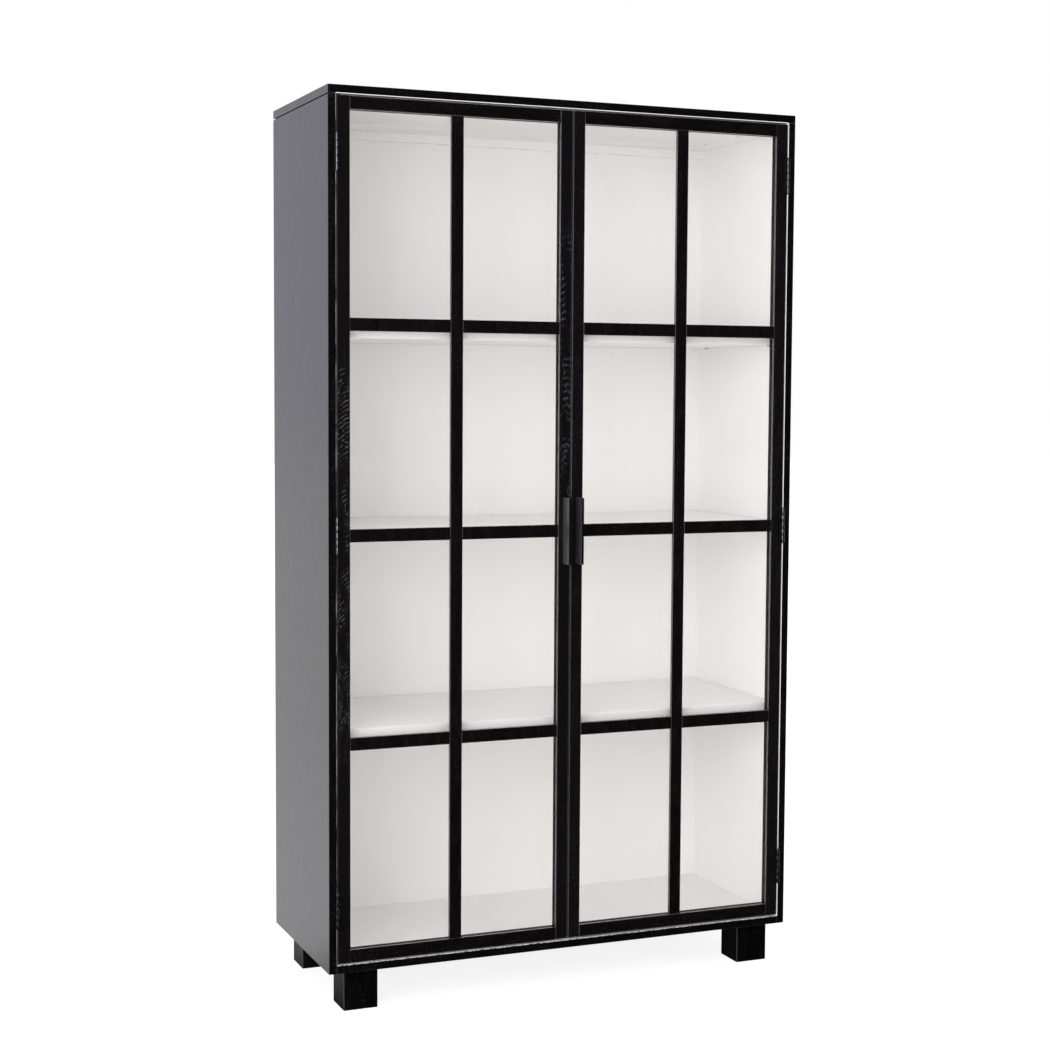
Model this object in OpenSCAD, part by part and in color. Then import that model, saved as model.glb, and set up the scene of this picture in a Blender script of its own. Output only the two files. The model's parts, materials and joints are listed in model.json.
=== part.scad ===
// Tall display cabinet: a black-stained case on four block feet, white inside, with three
// shelves behind two glazed doors.
// X runs along the front, Y from front to back and Z upwards. The origin lies on the floor,
// under the middle of the whole cabinet, handles included.

/* [Case] */
// Width over the side panels
case_w = 1130; // [1000:1:1300]
// Depth of the case without its handles
case_d = 440; // [400:1:520]
// Height of the case above its feet
case_h = 1910; // [1800:1:2050]
// Thickness of the outer boards with their white facing
board_t = 18; // [16:0.5:22]
// Thickness of the white facing on the inside, whose edge shows at the front
facing_t = 1; // [0.6:0.1:1.5]
// Thickness of the back panel behind its facing
back_t = 5; // [4:0.5:7]
// How far the back panel laps onto the boards
back_lap = 9; // [8:0.5:11]

/* [Top] */
// Thickness of the white ceiling board under the top panel
ceiling_t = 18; // [15:0.5:22]
// Gap between the closed doors and the ceiling board that stops them
stop_gap = 0.5; // [0.3:0.1:1.5]
// Height of the white batten under the ceiling board at the back
batten_h = 20; // [18:1:30]
// Thickness of that batten
batten_t = 18; // [16:1:24]
// Distance of the two wall fixing holes from the middle of the batten
wall_hole_x = 480; // [300:1:510]
// Radius of the wall fixing holes
wall_hole_r = 3; // [2:0.1:4]

/* [Feet] */
// Width and depth of a square foot
foot_w = 78; // [60:1:90]
// Height of a foot
foot_h = 90; // [60:1:120]
// Distance of a foot from the side of the case
foot_inset_x = 38; // [24:1:60]
// Distance of a foot from the front or the back of the case
foot_inset_y = 17; // [10:1:40]

/* [Shelves] */
// Thickness of a shelf
shelf_t = 18; // [15:0.5:22]
// Distance from one shelf to the next
shelf_pitch = 433; // [350:1:460]
// Gap between the closed doors and the shelves
shelf_door_gap = 4; // [2.5:0.5:25]
// Gap between a shelf and the back
shelf_back_gap = 2; // [1:0.5:8]
// Gap between a shelf and a side
shelf_side_gap = 1; // [0.5:0.1:2]
// Radius of a shelf pin
pin_r = 2.5; // [2:0.1:3]
// Depth of a shelf pin in the side panel
pin_in = 10; // [8:0.5:12]
// Distance of the pins from the shelf's front and back edges
pin_inset = 45; // [30:1:70]

/* [Doors] */
// Thickness of a door
door_t = 22; // [20:0.5:24]
// Width of the stiles and rails
frame_w = 28; // [26:0.5:36]
// Width of the glazing bars
bar_w = 28; // [20:0.5:34]
// Thickness of the glazing bars and of the lip in front of the glass
bar_t = 8; // [7:0.5:9]
// Thickness of the glass
glass_t = 4; // [3:0.5:5]
// How far the frame laps over the glass
glass_lap = 9; // [7:0.5:10]
// Rows of lights in a door
light_rows = 4; // [2:1:5]
// Gap above and below a door
end_gap = 4; // [2.5:0.1:6]
// Gap between a door and the side panel
side_gap = 2.4; // [1.8:0.1:2.6]
// Gap between the two doors
meeting_gap = 3; // [2:0.1:5]

/* [Handles] */
// Length of a handle
handle_l = 150; // [140:1:220]
// Thickness of a handle
handle_t = 6; // [5:0.5:8]
// How far a handle stands out
handle_out = 34; // [20:1:45]
// Distance between a handle's two screws
handle_pitch = 128; // [96:1:128]

/* [Hinges] */
// Length of a hinge
hinge_l = 80; // [70:1:100]
// Distance of the end hinges' middles from the ends of the case
hinge_end = 140; // [100:1:200]
// Outer radius of a hinge knuckle
knuckle_r = 4; // [3.6:0.1:5]
// Radius of a hinge pin
hinge_pin_r = 2; // [1.5:0.1:2.4]
// Thickness of a hinge leaf
leaf_t = 2; // [1.6:0.1:2.4]
// Depth of a hinge leaf behind the case front
leaf_w = 18; // [16:0.5:20]

/* [Fixings] */
// Radius of the wood screws
screw_r = 1.75; // [1.5:0.05:2]
// Length of the hinge screws
hinge_screw_l = 14; // [10:0.5:15]
// Length of the screws that hold the top panel
top_screw_l = 30; // [26:0.5:32]
// Distance of the top screws from the side of the case
top_screw_x = 79; // [50:1:200]
// Distance of the top screws from the front and the back panel
top_screw_y = 133; // [60:1:150]
// Length of the back panel's screws
back_screw_l = 16; // [12:0.5:20]
// Radius of the wooden dowels
dowel_r = 4; // [3:0.5:5]
// Depth of a dowel in the side panel
dowel_in = 10; // [8:0.5:12]
// Depth of a dowel in the board that it carries
dowel_out = 20; // [15:0.5:30]
// Radius of the foot bolts
bolt_r = 4; // [3:0.5:5]
// Outer radius of the threaded inserts for the foot bolts
insert_r = 6; // [5.5:0.5:7]
// Length of a threaded insert
insert_l = 13; // [10:0.5:14]
// Depth of a foot bolt in its foot
bolt_in = 35; // [25:1:50]

/* [Catches] */
// Distance of the magnetic catches from the middle
catch_x = 70; // [50:1:150]
// Height of a catch
catch_h = 16; // [14:0.5:18]
// Length of a catch's housing between its two ears
catch_l = 30; // [26:1:40]
// Depth of a catch
catch_d = 16; // [14:0.5:20]
// Thickness of the steel strike plates
strike_t = 1.5; // [1:0.1:2]
// Height of a strike plate
strike_h = 12; // [9:0.5:14]

/* [Hidden] */
$fn = 48;

// Cutters run this far past the faces that they open.
over = 1;
// Clearance around screws, dowels, tenons and let-in plates.
fit_gap = 0.1;
// Radial clearance of the hinge pins.
running_gap = 0.05;
// Blind holes end this far beyond the piece in them.
end_room = 0.5;

black_stain = "#1d1c1d";
white_face = "#ecebe7";
clear_glass = [0.85, 0.9, 0.9, 0.35];
black_steel = "#202022";
zinc_steel = "#b9bbbd";
beech = "#c9a678";

// Main planes. Y is measured from the case front here, and front() moves it into place.
front_y = (handle_out - case_d) / 2;
z_case = foot_h;
z_top = z_case + case_h;
z_floor = z_case + board_t;
z_under_top = z_top - board_t;
z_ceiling = z_under_top - ceiling_t;
z_mid = z_case + case_h / 2;
side_x = case_w / 2;
inner_x = side_x - board_t;
lap_x = inner_x + back_lap;
rebate_y = case_d - back_t - facing_t;

// Left door, mirrored for the right one.
x_hinge_edge = -inner_x + side_gap;
x_meeting_edge = -meeting_gap / 2;
x_open_a = x_hinge_edge + frame_w;
x_open_b = x_meeting_edge - frame_w;
x_upright = (x_open_a + x_open_b) / 2;
z_door_low = z_floor + end_gap;
z_door_high = z_under_top - end_gap;
z_open_low = z_door_low + frame_w;
z_open_high = z_door_high - frame_w;
light_pitch = (z_open_high - z_open_low) / light_rows;
bar_z = [for (row = [1:light_rows - 1]) z_open_low + row * light_pitch];
glass_back = bar_t + glass_t;
glass_play = 1;
bead_joint = 0.2;
tenon_l = 12;
tenon_shoulder = 3;
tongue_l = 8;
tongue_t = 3;
tongue_shoulder = 4;

// Shelves and their pins
shelf_front = door_t + shelf_door_gap;
shelf_back = rebate_y - shelf_back_gap;
shelf_half_w = inner_x - shelf_side_gap;
tab_l = 8;
tab_w = 8;
tab_t = 3;
pin_y = [shelf_front + pin_inset, shelf_back - pin_inset];

// Hinges
knuckles = 5;
knuckle_l = hinge_l / knuckles;
knuckle_gap = 0.3;
leaf_play = 0.4;
axis_x = -inner_x + side_gap / 2;
knuckle_front_gap = 0.2;
axis_y = -knuckle_r - knuckle_front_gap;
hinge_z = [z_case + hinge_end, z_mid, z_top - hinge_end];
leaf_screw_y = leaf_w / 2 + 1;
leaf_screw_end = 10;
leaf_screw_z = [-hinge_l / 2 + leaf_screw_end, 0, hinge_l / 2 - leaf_screw_end];
pin_button_r = hinge_pin_r + 1;
pin_button_h = 1.4;

// Screws, dowels, bolts and catches
head_r = 2 * screw_r;
head_h = 1.9;
recess_w = 0.7;
small_screw_r = screw_r - 0.25;
small_head_r = 2 * small_screw_r;
top_screw_ys = [top_screw_y, rebate_y - top_screw_y];
back_lap_mid = back_lap / 2;
back_rows = 6;
back_columns = 4;
back_end_z = 60;
back_end_x = 120;
dowel_end_y = 60;
dowel_y = [dowel_end_y, case_d / 2, case_d - dowel_end_y];
batten_mid_y = rebate_y - batten_t / 2;
batten_mid_z = z_ceiling - batten_h / 2;
handle_x = x_meeting_edge - frame_w / 2;
handle_screw_r = 2;
handle_head_r = 2 * handle_screw_r;
handle_head_h = 2;
handle_screw_in = 11;
magnet_gap = 0.3;
catch_y = door_t + strike_t + magnet_gap;
ear_l = 8;
ear_t = 4;
catch_screw_l = 12;
magnet_in = 9;
magnet_wall = 3;
magnet_roof = 1.5;
strike_z = z_door_low + (frame_w - glass_lap) / 2;
strike_l = 32;
strike_pin_r = 1.5;
strike_pin_l = 8;

// ---- helpers ----

// A box from its low corner to its high corner
module block(low, high) {
    translate(low) cube(high - low);
}

// Moves what is measured from the case front into the cabinet's frame
module front() {
    translate([0, front_y, 0]) children();
}

// Draws the left half's pieces again on the right
module both_sides() {
    children();
    mirror([1, 0, 0]) children();
}

// Turns the bottom of a door over to make its top
module top_of_door() {
    translate([0, 0, z_door_low + z_door_high]) mirror([0, 0, 1]) children();
}

// A countersunk wood screw that hangs down from its head's flat top at the origin
module screw(length, radius, big) {
    difference() {
        union() {
            translate([0, 0, -length + radius]) cylinder(h = length - radius, r = radius);
            translate([0, 0, -length]) cylinder(h = radius, r1 = radius / 4, r2 = radius);
            translate([0, 0, -head_h]) cylinder(h = head_h, r1 = radius, r2 = big);
        }
        for (turn = [0, 90]) {
            rotate([0, 0, turn])
                block([-recess_w / 2, -radius, -head_h / 2], [recess_w / 2, radius, over]);
        }
    }
}

// The hole that such a screw sits in
module screw_hole(length, radius, big) {
    translate([0, 0, -length - end_room]) cylinder(h = length + end_room, r = radius + fit_gap);
    translate([0, 0, -head_h]) cylinder(h = head_h, r1 = radius + fit_gap, r2 = big + fit_gap);
    cylinder(h = over, r = big + fit_gap);
}

// ---- where the fixings go ----

// Top screws point up from the underside of the ceiling board
module at_top_screws() {
    for (y = top_screw_ys) {
        both_sides() translate([-side_x + top_screw_x, y, z_ceiling]) rotate([180, 0, 0]) children();
    }
}

// Back screws point forward from the back panel's outer face, all round its lap
module at_back_screws() {
    step_z = (z_under_top - z_floor - 2 * back_end_z) / (back_rows - 1);
    step_x = 2 * (inner_x - back_end_x) / (back_columns - 1);
    for (row = [0:back_rows - 1]) {
        both_sides()
            translate([-inner_x - back_lap_mid, case_d, z_floor + back_end_z + row * step_z])
                rotate([-90, 0, 0]) children();
    }
    for (column = [0:back_columns - 1]) {
        for (z = [z_floor - back_lap_mid, z_under_top + back_lap_mid]) {
            translate([-inner_x + back_end_x + column * step_x, case_d, z])
                rotate([-90, 0, 0]) children();
        }
    }
}

// Dowels lie along X, half in a side panel and half in the board beside it
module at_dowels() {
    both_sides() {
        for (y = dowel_y) {
            translate([-inner_x, y, z_case + board_t / 2]) rotate([0, 90, 0]) children();
            translate([-inner_x, y, z_under_top - ceiling_t / 2]) rotate([0, 90, 0]) children();
        }
        translate([-inner_x, batten_mid_y, batten_mid_z]) rotate([0, 90, 0]) children();
    }
}

module dowel_holes() {
    at_dowels() translate([0, 0, -dowel_in - end_room])
        cylinder(h = dowel_in + dowel_out + 2 * end_room, r = dowel_r + fit_gap);
}

module at_feet_left() {
    for (y = [foot_inset_y, case_d - foot_inset_y - foot_w]) {
        translate([-side_x + foot_inset_x, y, 0]) children();
    }
}

module at_foot_bolts() {
    both_sides() at_feet_left() translate([foot_w / 2, foot_w / 2, z_case]) children();
}

module at_catches() {
    both_sides() translate([-catch_x, catch_y, z_floor]) children();
}

module at_catch_screws() {
    at_catches() {
        for (x = [-1, 1]) {
            translate([x * (catch_l + ear_l) / 2, catch_d / 2, ear_t]) children();
        }
    }
}

// Places a hinge's own frame, whose Z axis is the hinge pin, at each left hinge
module at_left_hinges() {
    for (z = hinge_z) {
        translate([axis_x, axis_y, z]) children();
    }
}

// Screws of the leaf on the case side point left; the door side is mirrored
module at_leaf_screws() {
    for (z = leaf_screw_z) {
        translate([-leaf_play / 2, leaf_screw_y - axis_y, z]) rotate([0, 90, 0]) children();
    }
}

module at_shelf_pins(z) {
    both_sides() {
        for (y = pin_y) {
            translate([-inner_x, y, z]) children();
        }
    }
}

// Underside of each shelf, from the lowest up
shelf_low = [for (step = [-1:1]) z_mid + step * shelf_pitch - shelf_t / 2];

// ---- case ----

module leaf_pocket_case() {
    at_left_hinges()
        block([-leaf_play / 2 - leaf_t, -over - axis_y, -hinge_l / 2 - fit_gap],
              [leaf_play, leaf_w - axis_y + fit_gap, hinge_l / 2 + fit_gap]);
}

module shelf_pin_holes() {
    for (z = shelf_low) {
        at_shelf_pins(z - tab_t / 2) translate([-pin_in - end_room, 0, 0])
            rotate([0, 90, 0]) cylinder(h = pin_in + end_room + over, r = pin_r + fit_gap);
    }
}

// What is cut from a left side panel and from its facing alike
module side_cuts() {
    leaf_pocket_case();
    at_left_hinges() at_leaf_screws() screw_hole(hinge_screw_l, screw_r, head_r);
    shelf_pin_holes();
    dowel_holes();
}

module left_side() {
    difference() {
        block([-side_x, 0, z_case], [-inner_x, case_d, z_under_top]);
        block([-inner_x - facing_t, -over, z_floor],
              [-inner_x + over, rebate_y, z_under_top + over]);
        block([-lap_x, rebate_y, z_floor - back_lap],
              [-inner_x + over, case_d + over, z_under_top + over]);
        side_cuts();
        at_back_screws() screw_hole(back_screw_l, small_screw_r, small_head_r);
    }
}

module left_facing() {
    difference() {
        block([-inner_x - facing_t, 0, z_floor], [-inner_x, rebate_y, z_under_top]);
        side_cuts();
    }
}

module side_panel_left() {
    color(black_stain) front() left_side();
}

module side_panel_right() {
    color(black_stain) front() mirror([1, 0, 0]) left_side();
}

module side_facing_left() {
    color(white_face) front() left_facing();
}

module side_facing_right() {
    color(white_face) front() mirror([1, 0, 0]) left_facing();
}

module top_panel() {
    color(black_stain) front() difference() {
        block([-side_x, 0, z_under_top], [side_x, case_d, z_top]);
        block([-inner_x, -over, z_under_top - over], [inner_x, rebate_y, z_under_top + facing_t]);
        block([-lap_x, rebate_y, z_under_top - over], [lap_x, case_d + over, z_under_top + back_lap]);
        at_top_screws() screw_hole(top_screw_l, screw_r, head_r);
        at_back_screws() screw_hole(back_screw_l, small_screw_r, small_head_r);
    }
}

module top_facing() {
    color(white_face) front() difference() {
        block([-inner_x, 0, z_under_top], [inner_x, rebate_y, z_under_top + facing_t]);
        at_top_screws() screw_hole(top_screw_l, screw_r, head_r);
    }
}

module bottom_panel() {
    color(black_stain) front() difference() {
        block([-inner_x, 0, z_case], [inner_x, case_d, z_floor]);
        block([-inner_x - over, -over, z_floor - facing_t],
              [inner_x + over, rebate_y, z_floor + over]);
        block([-inner_x - over, rebate_y, z_floor - back_lap],
              [inner_x + over, case_d + over, z_floor + over]);
        dowel_holes();
        at_foot_bolts() translate([0, 0, -over]) cylinder(h = insert_l + over, r = insert_r + fit_gap);
        at_catch_screws() screw_hole(catch_screw_l, screw_r, head_r);
        at_back_screws() screw_hole(back_screw_l, small_screw_r, small_head_r);
    }
}

module floor_facing() {
    color(white_face) front() difference() {
        block([-inner_x, 0, z_floor - facing_t], [inner_x, rebate_y, z_floor]);
        at_catch_screws() screw_hole(catch_screw_l, screw_r, head_r);
    }
}

module ceiling_board() {
    color(white_face) front() difference() {
        block([-inner_x, door_t + stop_gap, z_ceiling], [inner_x, rebate_y, z_under_top]);
        at_top_screws() screw_hole(top_screw_l, screw_r, head_r);
        dowel_holes();
    }
}

module wall_holes() {
    both_sides() translate([-wall_hole_x, case_d + over, batten_mid_z]) rotate([90, 0, 0])
        cylinder(h = back_t + facing_t + batten_t + 2 * over, r = wall_hole_r);
}

module back_batten() {
    color(white_face) front() difference() {
        block([-inner_x, rebate_y - batten_t, z_ceiling - batten_h], [inner_x, rebate_y, z_ceiling]);
        dowel_holes();
        wall_holes();
    }
}

// A sheet in the back rebate, from one depth to another
module back_sheet(y_low, y_high) {
    difference() {
        block([-lap_x, y_low, z_floor - back_lap], [lap_x, y_high, z_under_top + back_lap]);
        at_back_screws() screw_hole(back_screw_l, small_screw_r, small_head_r);
        wall_holes();
    }
}

module back_facing() {
    color(white_face) front() back_sheet(rebate_y, rebate_y + facing_t);
}

module back_panel() {
    color(black_stain) front() back_sheet(rebate_y + facing_t, case_d);
}

// ---- shelves ----

module shelf(z_low) {
    color(white_face) front()
        block([-shelf_half_w, shelf_front, z_low], [shelf_half_w, shelf_back, z_low + shelf_t]);
}

module shelf_lower() {
    shelf(shelf_low[0]);
}

module shelf_middle() {
    shelf(shelf_low[1]);
}

module shelf_upper() {
    shelf(shelf_low[2]);
}

// A round peg in the side panel with a flat tab under the shelf
module shelf_pin() {
    translate([-pin_in, 0, -tab_t / 2]) rotate([0, 90, 0]) cylinder(h = pin_in, r = pin_r);
    block([0, -tab_w / 2, -tab_t], [tab_l, tab_w / 2, 0]);
}

module shelf_pins() {
    color(zinc_steel) front() {
        for (z = shelf_low) {
            at_shelf_pins(z) shelf_pin();
        }
    }
}

// ---- feet ----

module foot() {
    difference() {
        cube([foot_w, foot_w, foot_h]);
        translate([foot_w / 2, foot_w / 2, foot_h - bolt_in - end_room])
            cylinder(h = bolt_in + end_room + over, r = bolt_r + fit_gap);
    }
}

module foot_at(x, y) {
    color(black_stain) front() translate([x, y, 0]) foot();
}

foot_left_x = -side_x + foot_inset_x;
foot_right_x = side_x - foot_inset_x - foot_w;
foot_back_y = case_d - foot_inset_y - foot_w;

module foot_front_left() {
    foot_at(foot_left_x, foot_inset_y);
}

module foot_front_right() {
    foot_at(foot_right_x, foot_inset_y);
}

module foot_back_left() {
    foot_at(foot_left_x, foot_back_y);
}

module foot_back_right() {
    foot_at(foot_right_x, foot_back_y);
}

module foot_bolts() {
    color(zinc_steel) front() at_foot_bolts() translate([0, 0, -bolt_in])
        cylinder(h = bolt_in + insert_l - end_room, r = bolt_r);
}

module foot_inserts() {
    color(zinc_steel) front() at_foot_bolts() difference() {
        cylinder(h = insert_l, r = insert_r);
        translate([0, 0, -over]) cylinder(h = insert_l + 2 * over, r = bolt_r + fit_gap);
    }
}

// ---- fixings of the case ----

module carcass_dowels() {
    color(beech) front() at_dowels() translate([0, 0, -dowel_in])
        cylinder(h = dowel_in + dowel_out, r = dowel_r);
}

module top_screws() {
    color(black_steel) front() at_top_screws() screw(top_screw_l, screw_r, head_r);
}

module back_screws() {
    color(black_steel) front() at_back_screws() screw(back_screw_l, small_screw_r, small_head_r);
}

// ---- magnetic catches ----

// The magnet, or the pocket that it sits in once it is grown and its mouth runs forward
module magnet(grow, mouth) {
    block([-catch_l / 2 + magnet_wall - grow, -mouth, ear_t + magnet_wall - grow],
          [catch_l / 2 - magnet_wall + grow, magnet_in + grow, catch_h - magnet_roof + grow]);
}

module magnetic_catches() {
    color(white_face) front() difference() {
        at_catches() difference() {
            union() {
                block([-catch_l / 2, 0, 0], [catch_l / 2, catch_d, catch_h]);
                block([-catch_l / 2 - ear_l, 0, 0], [catch_l / 2 + ear_l, catch_d, ear_t]);
            }
            magnet(fit_gap, over);
        }
        at_catch_screws() screw_hole(catch_screw_l, screw_r, head_r);
    }
}

module catch_magnets() {
    color(zinc_steel) front() at_catches() magnet(0, 0);
}

module catch_screws() {
    color(black_steel) front() at_catch_screws() screw(catch_screw_l, screw_r, head_r);
}

// ---- hinges ----

// One leaf on the left of its pin, carrying the knuckles that its list names
module hinge_leaf(own, others) {
    difference() {
        union() {
            block([-leaf_play / 2 - leaf_t, 0, -hinge_l / 2], [-leaf_play / 2, leaf_w - axis_y, hinge_l / 2]);
            for (k = own) {
                translate([0, 0, k * knuckle_l - hinge_l / 2]) cylinder(h = knuckle_l, r = knuckle_r);
            }
        }
        for (k = others) {
            translate([0, 0, k * knuckle_l - hinge_l / 2 - knuckle_gap / 2])
                cylinder(h = knuckle_l + knuckle_gap, r = knuckle_r + knuckle_gap);
        }
        cylinder(h = hinge_l + 2 * over, r = hinge_pin_r + running_gap, center = true);
        at_leaf_screws() screw_hole(hinge_screw_l, screw_r, head_r);
    }
}

module case_leaves() {
    color(black_steel) front() at_left_hinges() hinge_leaf([0, 2, 4], [1, 3]);
}

module left_hinge_case_leaves() {
    case_leaves();
}

module right_hinge_case_leaves() {
    mirror([1, 0, 0]) case_leaves();
}

module hinge_pin() {
    cylinder(h = hinge_l, r = hinge_pin_r, center = true);
    translate([0, 0, hinge_l / 2]) cylinder(h = pin_button_h, r1 = pin_button_r, r2 = hinge_pin_r);
    translate([0, 0, -hinge_l / 2 - pin_button_h])
        cylinder(h = pin_button_h, r1 = hinge_pin_r, r2 = pin_button_r);
}

module hinge_pins() {
    color(black_steel) front() both_sides() at_left_hinges() hinge_pin();
}

module hinge_case_screws() {
    color(black_steel) front() both_sides() at_left_hinges() at_leaf_screws()
        screw(hinge_screw_l, screw_r, head_r);
}

// ---- left door, in the closed position ----

module leaf_pocket_door() {
    at_left_hinges()
        block([-leaf_play, -over - axis_y, -hinge_l / 2 - fit_gap],
              [leaf_play / 2 + leaf_t, leaf_w - axis_y + fit_gap, hinge_l / 2 + fit_gap]);
}

// Tenons of the bottom rail behind the lip, grown by a clearance for their pockets
module rail_tenon(grow) {
    block([x_open_a - glass_lap - tenon_l - grow, bar_t + tenon_shoulder - grow,
           z_door_low + tenon_shoulder - grow],
          [x_open_b + glass_lap + tenon_l + grow, door_t - tenon_shoulder + grow,
           z_door_low + frame_w - glass_lap - tenon_shoulder + grow]);
}

// Tongues of the cross bars, in the middle of the bars' thickness
module bar_tongue(z, grow) {
    half = bar_w / 2 - tongue_shoulder + grow;
    block([x_open_a - tongue_l - grow, (bar_t - tongue_t) / 2 - grow, z - half],
          [x_open_b + tongue_l + grow, (bar_t + tongue_t) / 2 + grow, z + half]);
}

// Tongue of the upright bar, which runs from one rail to the other
module upright_tongue(grow) {
    half = bar_w / 2 - tongue_shoulder + grow;
    block([x_upright - half, (bar_t - tongue_t) / 2 - grow, z_open_low - tongue_l - grow],
          [x_upright + half, (bar_t + tongue_t) / 2 + grow, z_open_high + tongue_l + grow]);
}

module joint_pockets() {
    rail_tenon(fit_gap);
    top_of_door() rail_tenon(fit_gap);
    for (z = bar_z) {
        bar_tongue(z, fit_gap);
    }
}

// The room for glass and beads behind the lip
module glass_rebate() {
    block([x_open_a - glass_lap, bar_t, z_door_low - over],
          [x_open_b + glass_lap, door_t + over, z_door_high + over]);
}

module hinge_stile() {
    color(black_stain) front() difference() {
        block([x_hinge_edge, 0, z_door_low], [x_open_a, door_t, z_door_high]);
        glass_rebate();
        joint_pockets();
        leaf_pocket_door();
        at_left_hinges() mirror([1, 0, 0]) at_leaf_screws() screw_hole(hinge_screw_l, screw_r, head_r);
    }
}

module at_handle_screws() {
    for (side = [-1, 1]) {
        translate([handle_x, door_t, z_mid + side * handle_pitch / 2]) rotate([-90, 0, 0]) children();
    }
}

module handle_screw_hole() {
    translate([0, 0, -door_t - handle_screw_in - end_room])
        cylinder(h = door_t + handle_screw_in + end_room + over, r = handle_screw_r + fit_gap);
}

module meeting_stile() {
    color(black_stain) front() difference() {
        block([x_open_b, 0, z_door_low], [x_meeting_edge, door_t, z_door_high]);
        glass_rebate();
        joint_pockets();
        at_handle_screws() handle_screw_hole();
    }
}

// A rail: the lip in front, the longer part behind it that fills the rebate's corners, the tenons
module plain_rail() {
    difference() {
        union() {
            block([x_open_a, 0, z_door_low], [x_open_b, bar_t, z_open_low]);
            block([x_open_a - glass_lap, bar_t, z_door_low],
                  [x_open_b + glass_lap, door_t, z_open_low - glass_lap]);
            rail_tenon(0);
        }
        upright_tongue(fit_gap);
    }
}

module at_strike() {
    translate([-catch_x, door_t, strike_z]) children();
}

module bottom_rail() {
    color(black_stain) front() difference() {
        plain_rail();
        at_strike() rotate([90, 0, 0]) translate([0, 0, -over])
            cylinder(h = strike_pin_l + end_room + over, r = strike_pin_r + fit_gap);
    }
}

module top_rail() {
    color(black_stain) front() top_of_door() plain_rail();
}

// Upright and cross bars are halved into each other: the upright keeps the front half
module upright_bar() {
    color(black_stain) front() difference() {
        union() {
            block([x_upright - bar_w / 2, 0, z_open_low], [x_upright + bar_w / 2, bar_t, z_open_high]);
            upright_tongue(0);
        }
        for (z = bar_z) {
            block([x_upright - bar_w / 2 - over, bar_t / 2, z - bar_w / 2],
                  [x_upright + bar_w / 2 + over, bar_t + over, z + bar_w / 2]);
        }
    }
}

module cross_bars() {
    color(black_stain) front() {
        for (z = bar_z) {
            difference() {
                union() {
                    block([x_open_a, 0, z - bar_w / 2], [x_open_b, bar_t, z + bar_w / 2]);
                    bar_tongue(z, 0);
                }
                block([x_upright - bar_w / 2, -over, z - bar_w / 2 - over],
                      [x_upright + bar_w / 2, bar_t / 2, z + bar_w / 2 + over]);
            }
        }
    }
}

module glass_pane() {
    reach = glass_lap - glass_play;
    color(clear_glass) front()
        block([x_open_a - reach, bar_t, z_open_low - reach],
              [x_open_b + reach, glass_back, z_open_high + reach]);
}

// Two long strips at the sides between two short ones, behind the glass
module glazing_beads() {
    color(black_stain) front() {
        block([x_open_a - glass_lap, glass_back, z_open_low - glass_lap],
              [x_open_b + glass_lap, door_t, z_open_low]);
        block([x_open_a - glass_lap, glass_back, z_open_high],
              [x_open_b + glass_lap, door_t, z_open_high + glass_lap]);
        block([x_open_a - glass_lap, glass_back, z_open_low + bead_joint],
              [x_open_a, door_t, z_open_high - bead_joint]);
        block([x_open_b, glass_back, z_open_low + bead_joint],
              [x_open_b + glass_lap, door_t, z_open_high - bead_joint]);
    }
}

module door_leaves() {
    color(black_steel) front() at_left_hinges() mirror([1, 0, 0]) hinge_leaf([1, 3], [0, 2, 4]);
}

module door_hinge_screws() {
    color(black_steel) front() at_left_hinges() mirror([1, 0, 0]) at_leaf_screws()
        screw(hinge_screw_l, screw_r, head_r);
}

// A flat bar on edge, held by two screws from behind the stile
module handle() {
    color(black_steel) front() difference() {
        block([handle_x - handle_t / 2, -handle_out, z_mid - handle_l / 2],
              [handle_x + handle_t / 2, 0, z_mid + handle_l / 2]);
        at_handle_screws() handle_screw_hole();
    }
}

module handle_screws() {
    color(black_steel) front() at_handle_screws() {
        translate([0, 0, -door_t - handle_screw_in])
            cylinder(h = door_t + handle_screw_in, r = handle_screw_r);
        difference() {
            cylinder(h = handle_head_h, r = handle_head_r);
            for (turn = [0, 90]) {
                rotate([0, 0, turn])
                    block([-recess_w / 2, -handle_screw_r, handle_head_h / 2],
                          [recess_w / 2, handle_screw_r, handle_head_h + over]);
            }
        }
    }
}

module strike_plate() {
    color(zinc_steel) front() at_strike() {
        block([-strike_l / 2, 0, -strike_h / 2], [strike_l / 2, strike_t, strike_h / 2]);
        rotate([90, 0, 0]) cylinder(h = strike_pin_l, r = strike_pin_r);
    }
}

module left_door_hinge_stile() hinge_stile();
module left_door_meeting_stile() meeting_stile();
module left_door_top_rail() top_rail();
module left_door_bottom_rail() bottom_rail();
module left_door_upright_bar() upright_bar();
module left_door_cross_bars() cross_bars();
module left_door_glass() glass_pane();
module left_door_glazing_beads() glazing_beads();
module left_door_hinge_leaves() door_leaves();
module left_door_hinge_screws() door_hinge_screws();
module left_door_handle() handle();
module left_door_handle_screws() handle_screws();
module left_door_strike_plate() strike_plate();

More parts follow.
